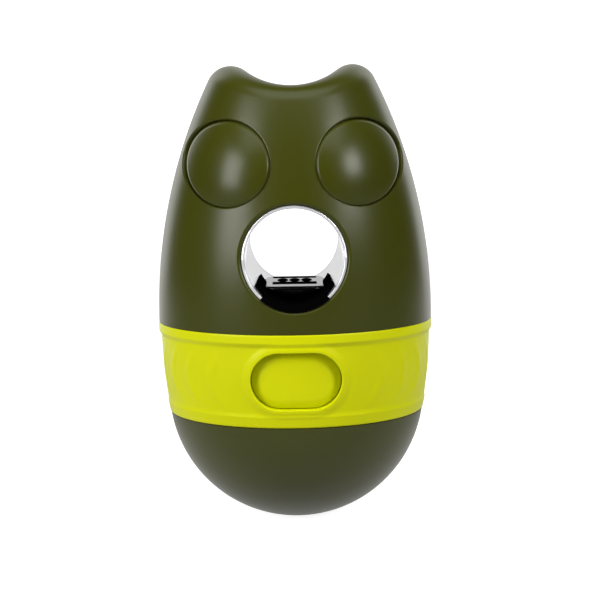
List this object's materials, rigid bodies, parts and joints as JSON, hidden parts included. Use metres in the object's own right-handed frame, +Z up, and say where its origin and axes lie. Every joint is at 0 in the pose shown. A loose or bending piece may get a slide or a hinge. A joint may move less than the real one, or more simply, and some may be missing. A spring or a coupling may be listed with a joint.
{
  "type": "dog treat dispenser",
  "caption": "Egg-shaped weighted wobble dispenser for dog treats, with ears, domed eyes, a lined through hole and a band with an oval release button.",
  "frame": {"origin": "middle of the small flat foot, on the floor", "axes": "+Z up, front with the eyes and the button towards -Y, +X to the right in the picture"},
  "size_m": [0.0782, 0.0782, 0.129],
  "materials": {
    "olive_shell": "gloss olive moulded plastic",
    "olive_eye": "gloss olive moulded plastic",
    "soft_lime": "satin lime silicone",
    "bright_liner": "bright metallised liner",
    "black_gloss": "gloss black plastic",
    "black_matte": "fine textured black plastic",
    "grey_inner": "matte grey plastic",
    "seal_rubber": "matte black rubber",
    "steel_weight": "plain cast weight",
    "screw_steel": "zinc plated steel"
  },
  "bodies": {
    "bowl": {"bowl_shell": "olive_shell", "ballast": "steel_weight", "ballast_cover": "grey_inner", "ballast_screws": "screw_steel", "neck_ring": "grey_inner", "neck_seal": "seal_rubber", "catch_tongue": "grey_inner", "tongue_screws": "screw_steel"},
    "head": {"head_shell": "olive_shell", "eye_left": "olive_eye", "eye_right": "olive_eye", "eye_clips": "screw_steel", "bore_liner": "bright_liner", "outlet_block": "black_gloss", "floor_tray": "black_gloss", "block_screws": "screw_steel", "treat_funnel": "grey_inner", "funnel_screws": "screw_steel", "grip_band": "soft_lime", "button_frame": "soft_lime"},
    "button": {"release_button": "soft_lime"},
    "gate": {"outlet_gate": "black_matte", "gate_grip": "soft_lime"}
  },
  "joints": [
    {"name": "head_lift", "type": "slide", "parent": "bowl", "child": "head", "axis": [0, 0, 1], "range_m": [0, 0.05], "deforming": ["catch_tongue"]},
    {"name": "press_button", "type": "slide", "parent": "head", "child": "button", "axis": [0, 1, 0], "range_m": [0, 0.0018], "stiffness_N_per_m": 400, "deforming": ["catch_tongue"]},
    {"name": "gate_slide", "type": "slide", "parent": "head", "child": "gate", "axis": [0, 1, 0], "range_m": [0, 0.0075]}
  ]
}
